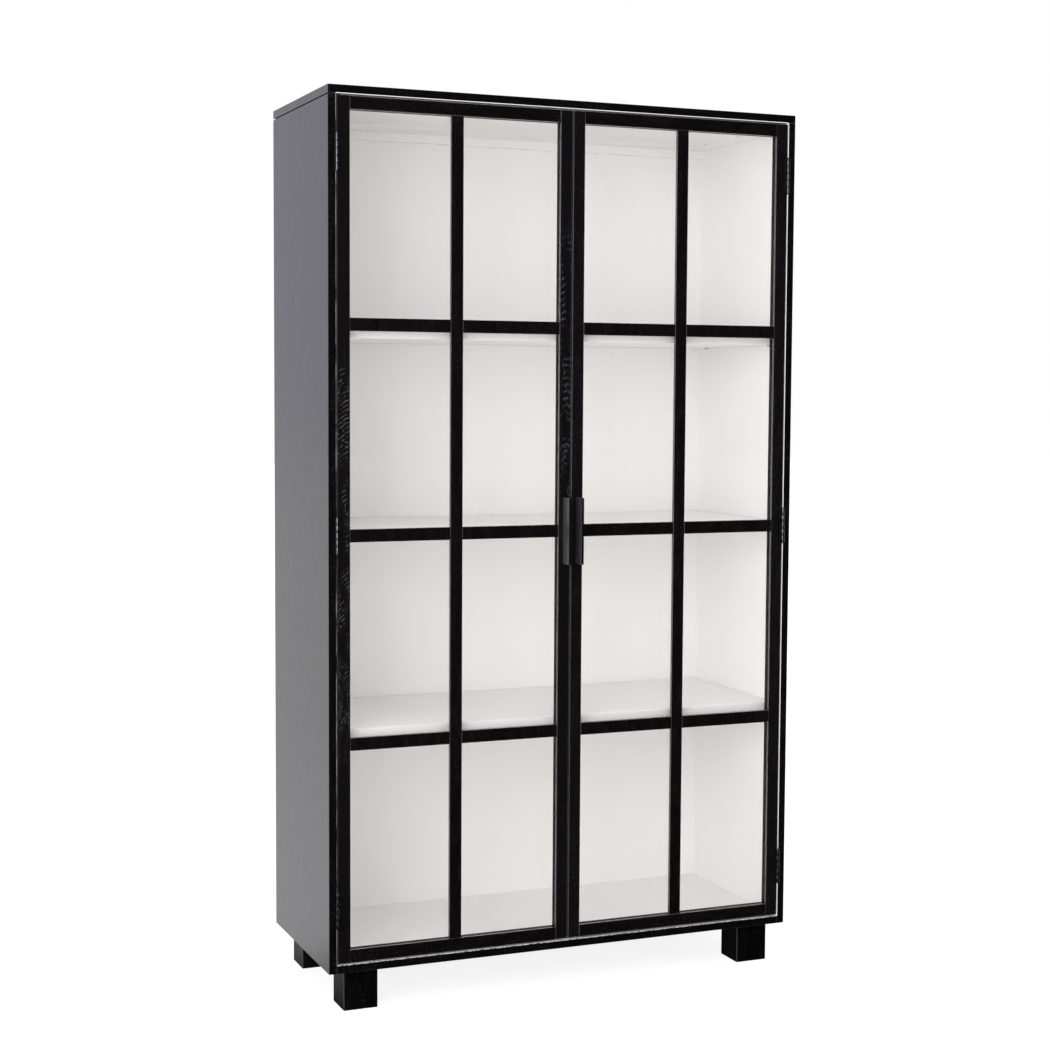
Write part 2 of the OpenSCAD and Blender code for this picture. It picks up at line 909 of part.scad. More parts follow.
module right_door_hinge_stile() mirror([1, 0, 0]) hinge_stile();
module right_door_meeting_stile() mirror([1, 0, 0]) meeting_stile();
module right_door_top_rail() mirror([1, 0, 0]) top_rail();
module right_door_bottom_rail() mirror([1, 0, 0]) bottom_rail();
module right_door_upright_bar() mirror([1, 0, 0]) upright_bar();
module right_door_cross_bars() mirror([1, 0, 0]) cross_bars();
module right_door_glass() mirror([1, 0, 0]) glass_pane();
module right_door_glazing_beads() mirror([1, 0, 0]) glazing_beads();
module right_door_hinge_leaves() mirror([1, 0, 0]) door_leaves();
module right_door_hinge_screws() mirror([1, 0, 0]) door_hinge_screws();
module right_door_handle() mirror([1, 0, 0]) handle();
module right_door_handle_screws() mirror([1, 0, 0]) handle_screws();
module right_door_strike_plate() mirror([1, 0, 0]) strike_plate();

top_panel();
bottom_panel();
side_panel_left();
side_panel_right();
back_panel();
ceiling_board();
back_batten();
top_facing();
floor_facing();
side_facing_left();
side_facing_right();
back_facing();
shelf_upper();
shelf_middle();
shelf_lower();
shelf_pins();
foot_front_left();
foot_front_right();
foot_back_left();
foot_back_right();
foot_bolts();
foot_inserts();
carcass_dowels();
top_screws();
back_screws();
magnetic_catches();
catch_magnets();
catch_screws();
left_hinge_case_leaves();
right_hinge_case_leaves();
hinge_pins();
hinge_case_screws();
left_door_hinge_stile();
left_door_meeting_stile();
left_door_top_rail();
left_door_bottom_rail();
left_door_upright_bar();
left_door_cross_bars();
left_door_glass();
left_door_glazing_beads();
left_door_hinge_leaves();
left_door_hinge_screws();
left_door_handle();
left_door_handle_screws();
left_door_strike_plate();
right_door_hinge_stile();
right_door_meeting_stile();
right_door_top_rail();
right_door_bottom_rail();
right_door_upright_bar();
right_door_cross_bars();
right_door_glass();
right_door_glazing_beads();
right_door_hinge_leaves();
right_door_hinge_screws();
right_door_handle();
right_door_handle_screws();
right_door_strike_plate();
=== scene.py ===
# %% [markdown]
# # A tall glazed display cabinet
#
# The cabinet is a black-stained oak case on four block feet, white inside, with three
# shelves behind two doors. Each door is a slim oak frame with a grid of bars over one sheet
# of glass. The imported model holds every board, bar, hinge and screw at its real size, so
# this script doesn't build the cabinet again. It eases the sharp edges, gives each piece its
# finish, and sets up a plain photo studio around it.

# %% Load the frame
import json
import math

import bmesh
import bpy
from mathutils import Euler, Matrix, Vector

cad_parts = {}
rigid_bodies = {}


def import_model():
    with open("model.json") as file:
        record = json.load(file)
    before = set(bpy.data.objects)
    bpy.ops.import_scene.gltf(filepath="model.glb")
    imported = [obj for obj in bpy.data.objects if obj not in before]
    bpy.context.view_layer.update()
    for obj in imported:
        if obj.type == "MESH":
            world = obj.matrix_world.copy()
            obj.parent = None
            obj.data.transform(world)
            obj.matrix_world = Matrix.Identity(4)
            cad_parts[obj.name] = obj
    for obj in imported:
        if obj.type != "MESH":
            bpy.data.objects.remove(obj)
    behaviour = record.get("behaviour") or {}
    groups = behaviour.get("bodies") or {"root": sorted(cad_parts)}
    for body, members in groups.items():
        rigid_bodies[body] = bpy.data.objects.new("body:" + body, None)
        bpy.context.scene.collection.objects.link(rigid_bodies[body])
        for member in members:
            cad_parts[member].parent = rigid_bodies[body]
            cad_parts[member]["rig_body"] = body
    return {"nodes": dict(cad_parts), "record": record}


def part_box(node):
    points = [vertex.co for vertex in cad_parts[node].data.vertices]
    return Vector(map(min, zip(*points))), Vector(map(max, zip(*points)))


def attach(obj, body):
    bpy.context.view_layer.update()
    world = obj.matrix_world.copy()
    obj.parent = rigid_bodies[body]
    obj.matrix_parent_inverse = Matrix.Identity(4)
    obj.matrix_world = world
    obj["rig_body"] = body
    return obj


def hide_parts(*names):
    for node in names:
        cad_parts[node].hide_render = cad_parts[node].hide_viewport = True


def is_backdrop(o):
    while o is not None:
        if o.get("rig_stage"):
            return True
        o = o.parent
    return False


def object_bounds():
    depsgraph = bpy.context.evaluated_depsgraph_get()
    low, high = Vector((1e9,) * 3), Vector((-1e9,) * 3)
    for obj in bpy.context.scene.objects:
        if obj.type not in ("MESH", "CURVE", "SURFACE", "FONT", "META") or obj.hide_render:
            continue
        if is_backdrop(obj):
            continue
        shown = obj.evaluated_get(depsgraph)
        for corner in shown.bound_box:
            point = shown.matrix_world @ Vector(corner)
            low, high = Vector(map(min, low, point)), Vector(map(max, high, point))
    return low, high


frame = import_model()
cad_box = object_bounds()

# %% [markdown]
# ## Units and colours
#
# Blender works in metres and cabinet makers in millimetres, so lengths are written in
# millimetres and multiplied by MM. Colours are written as hex, the way a paint chart or a
# screen gives them. Shaders want linear light instead, and one function turns one into the
# other.

# %% Units and colours
MM = 0.001


def paint(hex_colour):
    """A hex colour as the four linear numbers that a shader takes."""
    channels = [int(hex_colour[i : i + 2], 16) / 255 for i in (1, 3, 5)]
    linear = [c / 12.92 if c <= 0.04045 else ((c + 0.055) / 1.055) ** 2.4 for c in channels]
    return (*linear, 1.0)


print("a near black:", [round(c, 4) for c in paint("#141314")])

# %% [markdown]
# ## Adding a node
#
# A material is a small graph. Every node is added the same way: choose its kind, give each
# input a number or the output of an earlier node, and set its menus. One function does that
# and hands back the output, so that calls can be nested. Nothing else is needed to build any
# finish below.
#
# Patterns read Object coordinates, in metres. A pattern is easier to think of in its own
# size, such as one pore or one ring, so per_mm gives the scale at which one unit of the
# pattern is that many millimetres across the grain and along it.


# %% Adding a node
def add(tree, kind, inputs=None, out=0, **menus):
    """Adds a node, fills its inputs with values or links, and hands back one output."""
    node = tree.nodes.new("ShaderNode" + kind)
    for name, value in menus.items():
        setattr(node, name, value)
    for name, value in (inputs or {}).items():
        if isinstance(value, bpy.types.NodeSocket):
            tree.links.new(value, node.inputs[name])
        else:
            node.inputs[name].default_value = value
    return node.outputs[out] if node.outputs else node


def new_finish(name):
    """A material with an empty graph, and that graph."""
    material = bpy.data.materials.new(name)
    material.use_nodes = True
    material.node_tree.nodes.clear()
    return material, material.node_tree


def per_mm(across, along):
    """The scale at which one unit of a pattern has this size in millimetres."""
    return (1 / (across * MM), 1 / (across * MM), 1 / (along * MM))


print("a 2 mm pattern has a scale of", per_mm(2, 2)[0])

# %% [markdown]
# ## Black-stained oak
#
# Oak is ring-porous: each year's growth starts with a row of open pores. Where a flat board
# cuts through the rings they show as nested arches, and the pores along them as short
# dashes. A black stain hides the colour of the wood but not its relief. Under a thin satin
# lacquer the pores stay open and catch a little light, so the surface is near black with a
# faint figure in it.
#
# A picture of real oak would show that figure too, but it would repeat and need a file.
# Noises and one wave do it instead. All sizes are in millimetres, across the grain and along
# it. A wave repeats every 0.314 units, so with that as its Scale one unit is one ring. The
# camera stands too far off to show anything finer than about 2 mm, so the dashes are drawn
# that coarse.

# %% Oak: sizes of its figure
PORE, PORE_DEPTH = (1.1, 45), 0.12
CLOUD = (60, 400)
DASH = (4, 6)
PATCH = (20, 70)
STROKE = (2.6, 8)
ONE_RING = math.pi / 10
FLECK = "#9c9ca2"
print("dashes", DASH[1], "mm long in patches of", PATCH[1], "mm")

# %% [markdown]
# The boards differ. The outer boards are veneer, sanded flat and lacquered satin. The door
# frames are solid and a little glossier. The bars are stained from another, redder batch,
# and the feet and glazing beads are plain black with a dull stain and no lacquer, which shows
# as a lower IOR and a higher roughness.
#
# On the door frames the lacquer lies thicker over the moulded edges and inside the lights,
# where the brush passes twice. Those narrow faces are glossier than the broad front, and they
# mirror the white inside of the cabinet as bright lines. They are also painted a little
# greyer, a painted highlight that brightens those lines. On the other boards only the arrises
# are glossier and painted lighter like that.
#
# Faces are told apart by their normal, in the piece's own space. Its three lengths add up to
# 1 on a face that looks straight along an axis and to more on a rounded arris. Weights above
# 1 count the faces that look sideways, up or down as narrow too.

# %% Oak: the kinds of board
CUTS = {
    "veneer": {"dark": "#020203", "pale": "#050406", "rough": 0.33, "relief": 0.06, "ior": 1.46},
    "stile": {"dark": "#070507", "pale": "#0e0b0d", "rough": 0.29, "relief": 0.25, "ior": 1.55},
    "bar": {"dark": "#050203", "pale": "#0a0506", "rough": 0.29, "relief": 0.20, "ior": 1.55},
    "bead": {"dark": "#030202", "pale": "#060505", "rough": 0.60, "relief": 0.25, "ior": 1.33},
    "foot": {"dark": "#010000", "pale": "#020101", "rough": 0.55, "relief": 0.25, "ior": 1.30},
}
ROUGH_SPREAD, PORE_RANGE = 0.05, {"From Min": 0.3, "From Max": 0.7}
# The lighter grey that narrow faces and arrises get below is a painted highlight.
EDGE_ROUGH, EDGE_HIGHLIGHT = 0.18, "#46464a"
NARROW_FACES = {"stile": (1.2, 1, 1.2), "bar": (1.2, 1, 1.2)}
BROAD_TO_NARROW = {"From Min": 1.03, "From Max": 1.15}
print("kinds of oak:", ", ".join(CUTS))

# %% [markdown]
# Grain runs along a board's longest side. Grain space is Object coordinates that start at
# the middle of the board and are turned so that the grain runs along Z. The noises are slid
# by a different amount on each board, so that no two boards are the same.

# %% Oak: grain space
SLIDE = 1.7
GRAIN_TURN = {"X": (0, math.radians(90), 0), "Y": (math.radians(90), 0, 0), "Z": (0, 0, 0)}


def longest_axis(node):
    """The axis along which a node's box is longest."""
    low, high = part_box(node)
    size = Vector(high) - Vector(low)
    return "XYZ"[max(range(3), key=lambda axis: size[axis])]


def grain_space(tree, node):
    """Object coordinates centred on a board, with the grain along Z."""
    low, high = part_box(node)
    turn = Euler(GRAIN_TURN[longest_axis(node)])
    centre = turn.to_matrix() @ ((Vector(low) + Vector(high)) / 2)
    place = add(tree, "TexCoord", out="Object")
    return add(tree, "Mapping", {"Vector": place, "Location": -centre, "Rotation": turn})


print("the left stile's grain runs along", longest_axis("left_door_hinge_stile"))

# %% [markdown]
# The figure is where light catches open pores: dashes along the rings, and a few loose
# strokes, both only in some patches of the board. Each is a noise or a wave cut off at a
# level, so that it is 1 on a line and 0 elsewhere, and they are multiplied together.
#
# A board's arches are nested around its heart, the spot where the saw came nearest to the
# middle of the log. The heart can lie beside the board, and then the arches cross it as
# slanting lines. It is given in millimetres from the board's centre, across the grain and
# along it, with the size of one ring and the stretch of board on which the figure is strong.
# MASKS gives each noise its size and the two levels between which it fades in.

# %% Oak: where the figure is
FIGURE = {
    "left_door_hinge_stile": {
        "strength": 0.15, "heart": (26, -900), "ring": (1.9, 10), "middle": -60, "reach": 380,
    },
    "left_door_meeting_stile": {
        "strength": 0.15, "heart": (3, -160), "ring": (2.4, 15), "middle": 330, "reach": 260,
    },
}
PLAIN = {"strength": 0.02, "heart": (4, -300), "ring": (2.0, 14.0), "middle": 0, "reach": 2000}
FADE = 110
MASKS = ((DASH, 0.46, 0.54), (PATCH, 0.44, 0.58), (STROKE, 0.66, 0.72))
ON_RING = {"From Min": 0.66, "From Max": 0.90}


def oak_figure(tree, space, slide, figure):
    """Broken arches and short strokes in patches, 1 on a line and 0 off it."""
    masks = []
    for size, low, high in MASKS:
        shift = (slide, slide, slide)
        spot = add(tree, "Mapping", {"Vector": space, "Scale": per_mm(*size), "Location": shift})
        cells = add(tree, "TexNoise", {"Vector": spot, "Scale": 1.0, "Detail": 1.0})
        masks.append(add(tree, "MapRange", {"Value": cells, "From Min": low, "From Max": high}))
    dashes, patches, strokes = masks
    (across, along), (wide, long) = figure["heart"], figure["ring"]
    heart = (-across / wide, 0, -along / long)
    scale = per_mm(wide, long)
    cone = add(tree, "Mapping", {"Vector": space, "Scale": scale, "Location": heart})
    rings = add(
        tree,
        "TexWave",
        {"Vector": cone, "Scale": ONE_RING, "Distortion": 4.0, "Detail": 2.0, "Detail Scale": 0.4},
        out="Fac",
        wave_type="RINGS",
        rings_direction="Y",
    )
    lines = add(tree, "MapRange", {"Value": rings, **ON_RING})
    broken = add(tree, "Math", {0: lines, 1: dashes}, operation="MULTIPLY")
    both = add(tree, "Math", {0: broken, 1: strokes}, operation="MAXIMUM")
    patchy = add(tree, "Math", {0: both, 1: patches}, operation="MULTIPLY")
    height = add(tree, "SeparateXYZ", {"Vector": space}, out="Z")
    off = add(tree, "Math", {0: height, 1: figure["middle"] * MM}, operation="SUBTRACT")
    off = add(tree, "Math", {0: off}, operation="ABSOLUTE")
    limits = {"From Min": figure["reach"] * MM, "From Max": (figure["reach"] + FADE) * MM}
    near = add(tree, "MapRange", {"Value": off, **limits, "To Min": 1.0, "To Max": 0.0})
    return add(tree, "Math", {0: patchy, 1: near}, operation="MULTIPLY")


print("figured boards:", ", ".join(FIGURE))

# %% [markdown]
# The finish puts it together. The cloud is the slow change of stain over a board. The pores
# roughen the lacquer a little and give it relief, and the figure shows as paler lines that
# stand in the same relief.


# %% Oak: the finish
def black_oak(node, cut):
    """Oak stained black under satin lacquer, in one of the cuts."""
    kind = CUTS[cut]
    figure = FIGURE.get(node, PLAIN)
    material, tree = new_finish(f"black-stained oak {cut} {node}")
    slide = SLIDE * sorted(frame["nodes"]).index(node)
    shift = (slide, slide, slide)
    space = grain_space(tree, node)
    spots = {}
    for name, size in (("pores", PORE), ("cloud", CLOUD)):
        spot = add(tree, "Mapping", {"Vector": space, "Scale": per_mm(*size), "Location": shift})
        spots[name] = add(tree, "TexNoise", {"Vector": spot, "Scale": 1.0, "Detail": 3.0})
    tones = {0: spots["cloud"], 6: paint(kind["dark"]), 7: paint(kind["pale"])}
    stain = add(tree, "Mix", tones, out=2, data_type="RGBA")
    flecks = oak_figure(tree, space, slide, figure)
    lines = add(tree, "Math", {0: flecks, 1: figure["strength"]}, operation="MULTIPLY")
    colour = add(tree, "Mix", {0: lines, 6: stain, 7: paint(FLECK)}, out=2, data_type="RGBA")
    height = add(tree, "Math", {0: spots["pores"], 1: lines}, operation="ADD")
    bump = {"Height": height, "Strength": kind["relief"], "Distance": PORE_DEPTH * MM}
    rough = {"To Min": kind["rough"] - ROUGH_SPREAD, "To Max": kind["rough"] + ROUGH_SPREAD}
    shine = add(tree, "MapRange", {"Value": spots["pores"], **PORE_RANGE, **rough})
    facing = add(tree, "TexCoord", out="Normal")
    facing = add(tree, "VectorMath", {0: facing}, operation="ABSOLUTE")
    weighed = {0: facing, 1: NARROW_FACES.get(cut, (1, 1, 1))}
    total = add(tree, "VectorMath", weighed, out="Value", operation="DOT_PRODUCT")
    narrow = add(tree, "MapRange", {"Value": total, **BROAD_TO_NARROW})
    shine = add(tree, "Mix", {0: narrow, 2: shine, 3: EDGE_ROUGH})
    # Narrow faces and arrises are painted a lighter grey: a painted highlight.
    tones = {0: narrow, 6: colour, 7: paint(EDGE_HIGHLIGHT)}
    colour = add(tree, "Mix", tones, out=2, data_type="RGBA")
    lacquer = {
        "Base Color": colour,
        "Roughness": shine,
        "IOR": kind["ior"],
        "Normal": add(tree, "Bump", bump),
    }
    add(tree, "OutputMaterial", {"Surface": add(tree, "BsdfPrincipled", lacquer)})
    return material


# %% [markdown]
# ## White melamine
#
# The inner faces and the shelves are board with a white melamine face: paper soaked in resin
# and pressed hard. It is an even warm white with a low sheen, and the press plate leaves a
# very fine texture. A little slow variation keeps the large faces from looking like paper.
#
# The facing's bare edge shows at the front of the case as a thin white line around the
# doors. At the left side and the floor the black lacquer of the front edges runs over it.
# How bare it is at most is a share, and a noise along the edge goes from covered to that.
# A shelf's front edge is covered by a glued-on edging, painted a little greyer than the
# melamine: a painted shade that tones down those front faces, which catch the most light. The
# edging is told from the rest by its normal, which looks to the front.

# %% White melamine
EDGE_DEPTH = 0.3
RUN_OVER, RUN_RANGE = (6, 60), {"From Min": 0.40, "From Max": 0.60}
DRIFT = (260, 260)
PRESS, PRESS_DEPTH = (0.9, 0.9), 0.03
TO_FRONT = {"From Min": -0.6, "From Max": -0.9}


def front_faces(tree):
    """1 on the faces that look to the front and 0 on the others."""
    facing = add(tree, "SeparateXYZ", {"Vector": add(tree, "TexCoord", out="Normal")}, out="Y")
    return add(tree, "MapRange", {"Value": facing, **TO_FRONT})


def white_melamine(name, bare=None, shaded_band=None):
    """White melamine board. Bare is the bare share of its front edge, band the colour painted on
    its front faces as shade.
    """
    material, tree = new_finish(name)
    place = add(tree, "TexCoord", out="Object")
    wide = add(tree, "Mapping", {"Vector": place, "Scale": per_mm(*DRIFT)})
    drift = add(tree, "TexNoise", {"Vector": wide, "Scale": 1.0})
    whites = {0: drift, 6: paint("#f8f5f4"), 7: paint("#faf8f7")}
    colour = add(tree, "Mix", whites, out=2, data_type="RGBA")
    if bare is not None:
        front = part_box("side_panel_left")[0][1] + EDGE_DEPTH * MM
        depth = add(tree, "SeparateXYZ", {"Vector": place}, out="Y")
        at_edge = add(tree, "Math", {0: depth, 1: front}, operation="LESS_THAN")
        along = add(tree, "Mapping", {"Vector": place, "Scale": per_mm(*RUN_OVER)})
        runs = add(tree, "TexNoise", {"Vector": along, "Scale": 1.0})
        share = {"To Min": 1.0, "To Max": 1.0 - bare}
        covered = add(tree, "MapRange", {"Value": runs, **RUN_RANGE, **share})
        lacquered = add(tree, "Math", {0: at_edge, 1: covered}, operation="MULTIPLY")
        tones = {0: lacquered, 6: colour, 7: paint("#0d0c0e")}
        colour = add(tree, "Mix", tones, out=2, data_type="RGBA")
    # Front faces take the greyer edging colour: a painted shade.
    if shaded_band is not None:
        tones = {0: front_faces(tree), 6: colour, 7: paint(shaded_band)}
        colour = add(tree, "Mix", tones, out=2, data_type="RGBA")
    fine = add(tree, "Mapping", {"Vector": place, "Scale": per_mm(*PRESS)})
    press = add(tree, "TexNoise", {"Vector": fine, "Scale": 1.0})
    relief = add(tree, "Bump", {"Height": press, "Strength": 0.12, "Distance": PRESS_DEPTH * MM})
    face = add(
        tree,
        "BsdfPrincipled",
        {"Base Color": colour, "Roughness": 0.5, "IOR": 1.5, "Normal": relief},
    )
    add(tree, "OutputMaterial", {"Surface": face})
    return material


# %% [markdown]
# ## Float glass
#
# Float glass is flat and clear. Real panes bend what they mirror very slightly, because the
# ribbon of glass was pulled over rollers, and a wide shallow bump gives that.
#
# A path tracer finds it hard to send lamp light through solid glass, and the shelves behind
# would come out dark and noisy. So rays from lamps, and rays that light one surface from
# another, meet a clear sheet instead. The eye still sees real glass.


# %% Float glass
ROLLER_MARKS, ROLLER_DEPTH = (90, 140), 0.05


def float_glass():
    """Clear float glass that lets lamp light through."""
    material, tree = new_finish("clear float glass")
    place = add(tree, "TexCoord", out="Object")
    wide = add(tree, "Mapping", {"Vector": place, "Scale": per_mm(*ROLLER_MARKS)})
    rollers = add(tree, "TexNoise", {"Vector": wide, "Scale": 1.0})
    bump = {"Height": rollers, "Strength": 0.05, "Distance": ROLLER_DEPTH * MM}
    relief = add(tree, "Bump", bump)
    glass = add(
        tree,
        "BsdfPrincipled",
        {
            "Base Color": paint("#fdfefd"),
            "Roughness": 0.0,
            "IOR": 1.45,
            "Transmission Weight": 1.0,
            "Normal": relief,
        },
    )
    clear = add(tree, "BsdfTransparent", {"Color": paint("#fefefe")})
    bounced = add(tree, "LightPath", out="Is Diffuse Ray")
    for_bounces = add(tree, "MixShader", {0: bounced, 1: glass, 2: clear})
    from_lamp = add(tree, "LightPath", out="Is Shadow Ray")
    for_lamps = add(tree, "MixShader", {0: from_lamp, 1: for_bounces, 2: clear})
    add(tree, "OutputMaterial", {"Surface": for_lamps})
    return material


# %% [markdown]
# ## Metals, plastic and dowels
#
# The handles are flat steel blades with a satin black powder coat. Their flats are painted a
# little grey, a painted highlight for the light from the left, and their front faces near
# black, a painted shade. The hinges and screws are blackened steel, smoother, and a little
# brighter where they have been rubbed. Shelf pins, strike plates and magnets are zinc plated.
# The catches are moulded ABS and the dowels plain beech. All of them are one shader with
# pebbles in the relief and worn patches in the colour, so one function makes them.

# %% Metals, plastic and dowels
WEAR, WEAR_RANGE = (14, 22), {"From Min": 0.5, "From Max": 0.75}
WORN_ROUGH = 0.8


def coated(name, colour, worn, rough, pebble, depth, metallic=0.0, ior=1.5, front=None):
    """A finish with fine pebbles and worn patches. Front is another colour for front faces, used
    as painted shade.
    """
    material, tree = new_finish(name)
    place = add(tree, "TexCoord", out="Object")
    fine = add(tree, "Mapping", {"Vector": place, "Scale": per_mm(pebble, pebble)})
    peel = add(tree, "TexNoise", {"Vector": fine, "Scale": 1.0, "Detail": 1.0})
    wide = add(tree, "Mapping", {"Vector": place, "Scale": per_mm(*WEAR)})
    rubbed = add(tree, "TexNoise", {"Vector": wide, "Scale": 1.0, "Detail": 4.0})
    wear = add(tree, "MapRange", {"Value": rubbed, **WEAR_RANGE})
    tones = {0: wear, 6: paint(colour), 7: paint(worn)}
    tone = add(tree, "Mix", tones, out=2, data_type="RGBA")
    # Front faces can take another colour here: a painted shade on the handles.
    if front is not None:
        tones = {0: front_faces(tree), 6: tone, 7: paint(front)}
        tone = add(tree, "Mix", tones, out=2, data_type="RGBA")
    smoother = {"Value": wear, "To Min": rough, "To Max": WORN_ROUGH * rough}
    surface = add(
        tree,
        "BsdfPrincipled",
        {
            "Base Color": tone,
            "Roughness": add(tree, "MapRange", smoother),
            "Metallic": metallic,
            "IOR": ior,
            "Normal": add(tree, "Bump", {"Height": peel, "Strength": 0.5, "Distance": depth * MM}),
        },
    )
    add(tree, "OutputMaterial", {"Surface": surface})
    return material


# %% [markdown]
# ## Which piece has which finish
#
# The record says which material slot each node belongs to, so most nodes find their finish by
# their slot. Oak is the exception, because each board has its own grain. Two facings have a
# bare front edge of their own, and the shelves have an edging in a painted shade.

# %% Which piece has which finish
SLOTS = {part["node"]: part["material_slot"] for part in frame["record"]["subparts"]}
BARE_EDGE = {"floor_facing": 0.8, "side_facing_left": 0.25}
# The shelves' greyer edging colour is a painted shade on their front faces.
shaded_shelf_board = white_melamine("white melamine with edge band", shaded_band="#dfdcda")
by_slot = {
    "white_board": white_melamine("white melamine"),
    "glass": float_glass(),
    # The handle's grey flats are a painted highlight and its near black front faces a painted
    # shade.
    "handle_steel": coated(
        "satin black powder coat", "#38383b", "#434347", 0.36, 0.7, 0.02, front="#040404"
    ),
    "hinge_steel": coated("blackened steel", "#727276", "#8a8a8e", 0.28, 1.2, 0.01, 1.0),
    "black_screw": coated("black phosphated steel", "#1a1a1b", "#2a2a2b", 0.4, 0.8, 0.02),
    "zinc_steel": coated("zinc-plated steel", "#b4b8bb", "#c4c7c9", 0.32, 1.0, 0.01, 1.0),
    "white_plastic": coated("white moulded ABS", "#e7e6e2", "#ecebe8", 0.45, 1.5, 0.02, ior=1.46),
    "beech_dowel": coated("plain beech", "#c9a27a", "#bd946a", 0.6, 1.2, 0.05),
}


def finish_of(node):
    """The finish of a node. Each oak board gets its own cut of the wood."""
    if node in BARE_EDGE:
        return white_melamine(f"white melamine {node}", BARE_EDGE[node])
    slot = SLOTS[node]
    if slot == "black_board":
        return black_oak(node, "veneer")
    if slot == "white_board" and node.startswith("shelf"):
        return shaded_shelf_board
    if slot != "black_oak":
        return by_slot[slot]
    if node.startswith("foot"):
        return black_oak(node, "foot")
    if node.endswith("beads"):
        return black_oak(node, "bead")
    cut = "stile" if node.endswith("stile") else "bar"
    return black_oak(node, cut)


print("finishes:", len(by_slot), "besides the oak")

# %% [markdown]
# ## Eased edges
#
# A joiner never leaves an arris sharp: sandpaper takes it off, and that narrow round line is
# what catches the light around a black frame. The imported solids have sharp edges, so the
# boards and bars that show are copied, and the long outer edges of each copy are rounded.
#
# A Bevel modifier would round every edge, down to the rims of the screw holes. Here a bmesh
# picks the edges first: they stick out, they are longer than a screw hole's facets, and they
# turn a real corner. The copy is cleaned before that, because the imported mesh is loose
# triangles.

# %% Eased edges: how much
EASED = {
    "top_panel": 0.8,
    "bottom_panel": 0.8,
    "side_panel_left": 0.8,
    "side_panel_right": 0.8,
    "foot_front_left": 1.2,
    "foot_front_right": 1.2,
    "foot_back_left": 1.2,
    "foot_back_right": 1.2,
    "ceiling_board": 0.5,
    "back_batten": 0.5,
    "shelf_upper": 0.5,
    "shelf_middle": 0.5,
    "shelf_lower": 0.5,
    "magnetic_catches": 0.8,
}
for side in ("left", "right"):
    for member in ("hinge_stile", "meeting_stile", "top_rail", "bottom_rail"):
        EASED[f"{side}_door_{member}"] = 0.9
    for bar in ("upright_bar", "cross_bars"):
        EASED[f"{side}_door_{bar}"] = 0.5
    EASED[f"{side}_door_handle"] = 0.9
print("pieces to ease:", len(EASED))

# %% [markdown]
# A screw hole's rim is a ring of short edges, and a long board's arris is one long edge, so a
# least length tells them apart. Hinge knuckles are the other way round: there the rims are
# what is eased, and they lie on a circle around the hinge's axis.

# %% Eased edges: which
MERGE = 0.002 * MM
FLAT = math.radians(1)
CORNER = math.radians(60)
SHORTEST_ARRIS = 5 * MM
KNUCKLE_RADIUS, RIM_SLACK = 4 * MM, 0.02 * MM
HINGE_AXES = [Vector(joint["pos_m"][:2]) for joint in frame["record"]["behaviour"]["joints"]]


def is_corner(edge):
    """Whether two faces meet here in a corner that sticks out."""
    return len(edge.link_faces) == 2 and edge.is_convex and edge.calc_face_angle() > CORNER


def arrises(mesh):
    """The long outer corners of a board."""
    return [e for e in mesh.edges if is_corner(e) and e.calc_length() > SHORTEST_ARRIS]


def knuckle_rims(mesh):
    """The rims of hinge knuckles: level corners at the knuckle's radius from an axis."""
    rims = []
    for edge in mesh.edges:
        ends = [vert.co for vert in edge.verts]
        level = abs(ends[0].z - ends[1].z) < MERGE
        reach = [min((end.xy - axis).length for axis in HINGE_AXES) for end in ends]
        on_rim = all(abs(r - KNUCKLE_RADIUS) < RIM_SLACK for r in reach)
        if level and on_rim and is_corner(edge):
            rims.append(edge)
    return rims


print("hinge axes at", [tuple(round(c, 4) for c in axis) for axis in HINGE_AXES])

# %% [markdown]
# The side panels stand under the top panel. On the left one the joint shows as a fine dark
# line, because it is closed on the inside and left a little open outside. The outer top
# corner of its copy is lowered by 3 mm before it is eased.

# %% Eased edges: make the copies
OPEN_JOINT = {"side_panel_left": 3.0}


def stand_in(mesh, name, node):
    """Makes an object of a bmesh, which rides where a node does and has its finish."""
    data = bpy.data.meshes.new(name)
    mesh.to_mesh(data)
    mesh.free()
    piece = bpy.data.objects.new(name, data)
    bpy.context.scene.collection.objects.link(piece)
    piece.data.materials.append(finish_of(node))
    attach(piece, frame["nodes"][node]["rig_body"])
    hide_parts(node)
    return piece


def eased(node, radius, pick):
    """A copy of a node with some of its corners rounded, which stands for the node."""
    mesh = bmesh.new()
    mesh.from_mesh(frame["nodes"][node].data)
    bmesh.ops.remove_doubles(mesh, verts=mesh.verts, dist=MERGE)
    bmesh.ops.dissolve_limit(mesh, angle_limit=FLAT, verts=mesh.verts, edges=mesh.edges)
    if node in OPEN_JOINT:
        low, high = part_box(node)
        outer = max(abs(low.x), abs(high.x)) - MERGE
        corner = [v for v in mesh.verts if abs(v.co.x) > outer and v.co.z > high.z - MERGE]
        bmesh.ops.translate(mesh, verts=corner, vec=(0, 0, -OPEN_JOINT[node] * MM))
    edges = pick(mesh)
    bmesh.ops.bevel(
        mesh,
        geom=edges,
        offset=radius * MM,
        offset_type="OFFSET",
        affect="EDGES",
        segments=3,
        profile=0.5,
        material=-1,
        loop_slide=False,
        clamp_overlap=True,
    )
    return stand_in(mesh, f"{node}_eased", node), len(edges)


for node, radius in EASED.items():
    piece, count = eased(node, radius, arrises)
    print(f"{piece.name}: {count} arrises eased by {radius} mm")

# %% [markdown]
# A butt hinge shows as a barrel of five knuckles in the gap beside the door. The knuckles of
# a stamped hinge are rolled, with soft ends, so a row of small notches shows between them.

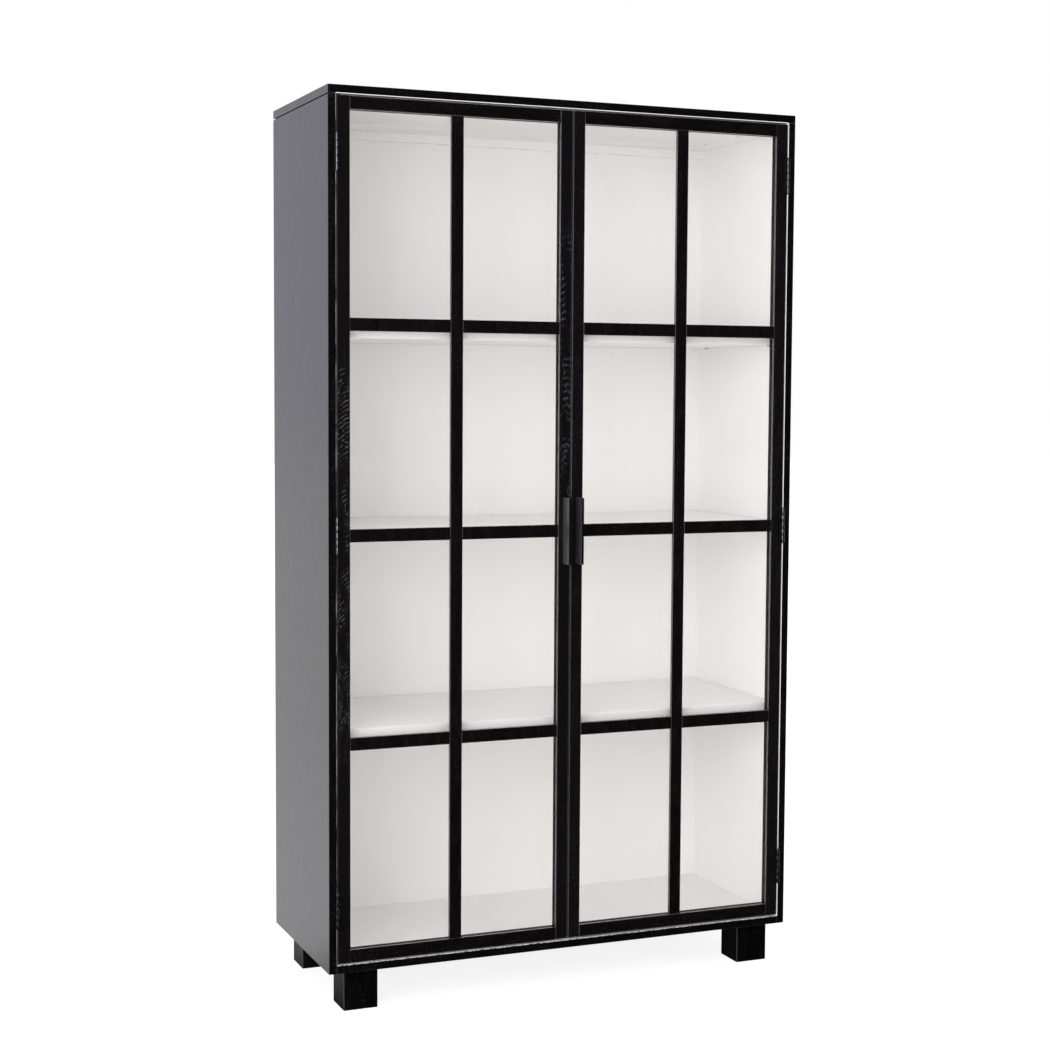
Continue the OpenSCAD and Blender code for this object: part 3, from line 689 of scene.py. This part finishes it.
# %% Hinge knuckles
KNUCKLE_EASE = 1.0
LEAVES = ("_case_leaves", "_hinge_leaves")
KNUCKLED = [node for node in SLOTS if node.endswith(LEAVES)]
for node in KNUCKLED:
    piece, count = eased(node, KNUCKLE_EASE, knuckle_rims)
    print(f"{piece.name}: {count} rim edges eased")

# %% [markdown]
# ## The nodes that stay
#
# Glass, facings, pins and screws already have the right shape, so they stay as packed and
# only take a finish.

# %% The nodes that stay
staying = [node for node in SLOTS if node not in EASED and node not in KNUCKLED]
for node in staying:
    packed = frame["nodes"][node]
    packed.data.materials.clear()
    packed.data.materials.append(finish_of(node))
print("packed nodes with a new finish:", len(staying))

# %% [markdown]
# ## Studio floor
#
# A plain pale floor runs to a white background, so that only the cabinet's own shadow gives
# it away. It is level and 60 m wide.
#
# Floor and background are a little different for each kind of ray. The camera sees the floor
# partly glowing, which lifts it to near white but keeps the shadow. Seen in the lacquer of
# the cabinet's side, the floor is what a studio has there: dark in front of the cabinet and
# in its shade, and rising to a lit white sweep beside and behind it. That is why the side of
# a near black cabinet can look grey while its front stays black.

# %% Floor
MIRRORED_WHITE = "#f2f0ff"
NEAR_GLOW, FAR_GLOW, FAR = 0.55, 0.32, 3.0
SWEEP_FROM, SWEEP_TO = -0.25, 0.35
CABINET_SHADE = (0.45, 0.60)
SHADOW_SHARE, LIFT = 0.32, 0.85
HALF_FLOOR = 30.0


def studio_floor():
    """A pale floor, darker in front and glowing behind in mirrored rays."""
    material, tree = new_finish("studio floor")
    pale = paint("#f2f1ef")
    place = add(tree, "TexCoord", out="Object")
    depth = add(tree, "SeparateXYZ", {"Vector": place}, out="Y")
    rise = {"Value": depth, "From Min": SWEEP_FROM, "From Max": SWEEP_TO}
    aside = add(tree, "SeparateXYZ", {"Vector": place}, out="X")
    aside = add(tree, "Math", {0: aside}, operation="ABSOLUTE")
    clear = {"Value": aside, "From Min": CABINET_SHADE[0], "From Max": CABINET_SHADE[1]}
    halves = {0: add(tree, "MapRange", rise), 1: add(tree, "MapRange", clear)}
    sweep = add(tree, "Math", halves, operation="MULTIPLY")
    mirrored = add(tree, "LightPath", out="Is Glossy Ray")
    ramp = {0: sweep, 6: paint("#161616"), 7: pale}
    ramp = add(tree, "Mix", ramp, out=2, data_type="RGBA")
    seen_colour = add(tree, "Mix", {0: mirrored, 6: pale, 7: ramp}, out=2, data_type="RGBA")
    fade = {"From Max": FAR, "To Min": NEAR_GLOW, "To Max": FAR_GLOW}
    glow = add(tree, "MapRange", {"Value": depth, **fade})
    glow = add(tree, "Math", {0: glow, 1: sweep}, operation="MULTIPLY")
    glow = add(tree, "Math", {0: mirrored, 1: glow}, operation="MULTIPLY")
    light = add(tree, "Emission", {"Color": paint(MIRRORED_WHITE), "Strength": glow})
    matt = add(tree, "BsdfDiffuse", {"Color": seen_colour})
    lit = add(tree, "AddShader", {0: matt, 1: light})
    part = add(tree, "BsdfDiffuse", {"Color": (SHADOW_SHARE, SHADOW_SHARE, SHADOW_SHARE, 1.0)})
    lift = add(tree, "Emission", {"Color": (1.0, 1.0, 1.0, 1.0), "Strength": LIFT})
    bright = add(tree, "AddShader", {0: part, 1: lift})
    by_eye = add(tree, "LightPath", out="Is Camera Ray")
    through_glass = add(tree, "LightPath", out="Is Transmission Ray")
    result = add(tree, "MixShader", {0: by_eye, 1: lit, 2: bright})
    result = add(tree, "MixShader", {0: through_glass, 1: result, 2: bright})
    add(tree, "OutputMaterial", {"Surface": result})
    return material


ground = bmesh.new()
bmesh.ops.create_grid(ground, x_segments=1, y_segments=1, size=HALF_FLOOR)
data = bpy.data.meshes.new("studio_floor")
ground.to_mesh(data)
ground.free()
floor = bpy.data.objects.new("studio_floor", data)
bpy.context.scene.collection.objects.link(floor)
floor.data.materials.append(studio_floor())
floor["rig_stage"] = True
print("floor:", [round(size, 1) for size in floor.dimensions])

# %% [markdown]
# ## Background and soft light
#
# The world is the background and the soft light of a white room. To the camera and through
# the glass it is plain white. Mirrored in the lacquer it is dark behind the camera and
# bright behind the cabinet, and like the floor's glow it is a slightly cool white. The soft
# light that falls on everything is a little stronger from the front and from above, where the
# lamps' light comes back from the room.

# %% World
BACKDROP_FROM, BACKDROP_TO = -0.1, 0.6
DIM_ROOM, BACKDROP = 0.015, 1.16
REAR_LIGHT, FRONT_LIGHT, OVERHEAD = 0.5, 0.98, 0.45
world = bpy.data.worlds.new("white studio")
world.use_nodes = True
tree = world.node_tree
tree.nodes.clear()
towards = add(tree, "TexCoord", out="Generated")
depth = add(tree, "SeparateXYZ", {"Vector": towards}, out="Y")
rise = {"From Min": BACKDROP_FROM, "From Max": BACKDROP_TO}
backdrop = {"Value": depth, **rise, "To Min": DIM_ROOM, "To Max": BACKDROP}
backdrop = add(tree, "MapRange", backdrop)
round_about = {"From Min": -1, "From Max": 1}
soft = {"Value": depth, **round_about, "To Min": FRONT_LIGHT, "To Max": REAR_LIGHT}
soft = add(tree, "MapRange", soft)
height = add(tree, "SeparateXYZ", {"Vector": towards}, out="Z")
above = add(tree, "MapRange", {"Value": height, "To Max": OVERHEAD})
soft = add(tree, "Math", {0: soft, 1: above})
mirrored = add(tree, "LightPath", out="Is Glossy Ray")
strength = add(tree, "Mix", {0: mirrored, 2: soft, 3: backdrop})
for ray in ("Is Transmission Ray", "Is Camera Ray"):
    strength = add(tree, "Mix", {0: add(tree, "LightPath", out=ray), 2: strength, 3: 1.0})
tints = {0: mirrored, 6: paint("#ffffff"), 7: paint(MIRRORED_WHITE)}
tint = add(tree, "Mix", tints, out=2, data_type="RGBA")
background = add(tree, "Background", {"Color": tint, "Strength": strength})
add(tree, "OutputWorld", {"Surface": background})
bpy.context.scene.world = world
print("world:", world.name)

# %% [markdown]
# ## Lamps
#
# Two soft boxes. The key stands to the left and shapes the side and the feet. The front one
# is taller than it is wide and stands beside the camera, so that its light reaches the floor
# of every shelf. Photographers put a polarising film on such a lamp, so that it doesn't
# show in glass and lacquer. Hiding it from glossy rays does the same.

# %% Lamps
MIDDLE = Vector((0, 0, 1.1))
LAMPS = {
    "key_lamp": {"at": (-3.6, -3.3, 1.8), "wide": 3.0, "tall": 3.0, "watts": 100, "shows": True},
    "front_lamp": {"at": (-2.3, -5.3, 1.5), "wide": 2.2, "tall": 2.8, "watts": 27, "shows": False},
}
for name, lamp in LAMPS.items():
    light = bpy.data.lights.new(name, "AREA")
    light.shape = "RECTANGLE"
    light.size = lamp["wide"]
    light.size_y = lamp["tall"]
    light.energy = lamp["watts"]
    holder = bpy.data.objects.new(name, light)
    place = Vector(lamp["at"])
    turn = (MIDDLE - place).to_track_quat("-Z", "Y").to_matrix().to_4x4()
    holder.matrix_world = Matrix.Translation(place) @ turn
    holder.visible_glossy = lamp["shows"]
    bpy.context.scene.collection.objects.link(holder)
    print(name, lamp["watts"], "W at", lamp["at"])

# %% [markdown]
# ## Camera
#
# The camera stands 4.5 m away, at a person's chest height and to the left, so it sees the
# front and one side. It looks down by 4 degrees.

# %% Camera
PLACE = (-1.7248, -4.1057, 1.3590)
SENSOR, FOCAL_LENGTH = 36.0, 65.19
PAN, TILT, ROLL = math.radians(22.47), math.radians(-4.05), math.radians(0.32)
lens = bpy.data.cameras.new("camera")
lens.sensor_width = SENSOR
lens.lens = FOCAL_LENGTH
camera = bpy.data.objects.new("camera", lens)
pan = Matrix.Rotation(-PAN, 4, "Z")
tilt = Matrix.Rotation(math.radians(90) + TILT, 4, "X")
roll = Matrix.Rotation(ROLL, 4, "Z")
camera.matrix_world = Matrix.Translation(PLACE) @ pan @ tilt @ roll
bpy.context.scene.collection.objects.link(camera)
bpy.context.scene.camera = camera
bpy.context.scene.view_settings.view_transform = "Standard"
print("camera at", PLACE, "lens", lens.lens)

# %% [markdown]
# ## Size
#
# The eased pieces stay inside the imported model's own outline, so the two boxes should agree.

# %% Size
dressed_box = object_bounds()
sizes = {"cad": cad_box, "visual": dressed_box}
sizes = {name: [list(corner) for corner in ends] for name, ends in sizes.items()}
print(sizes)
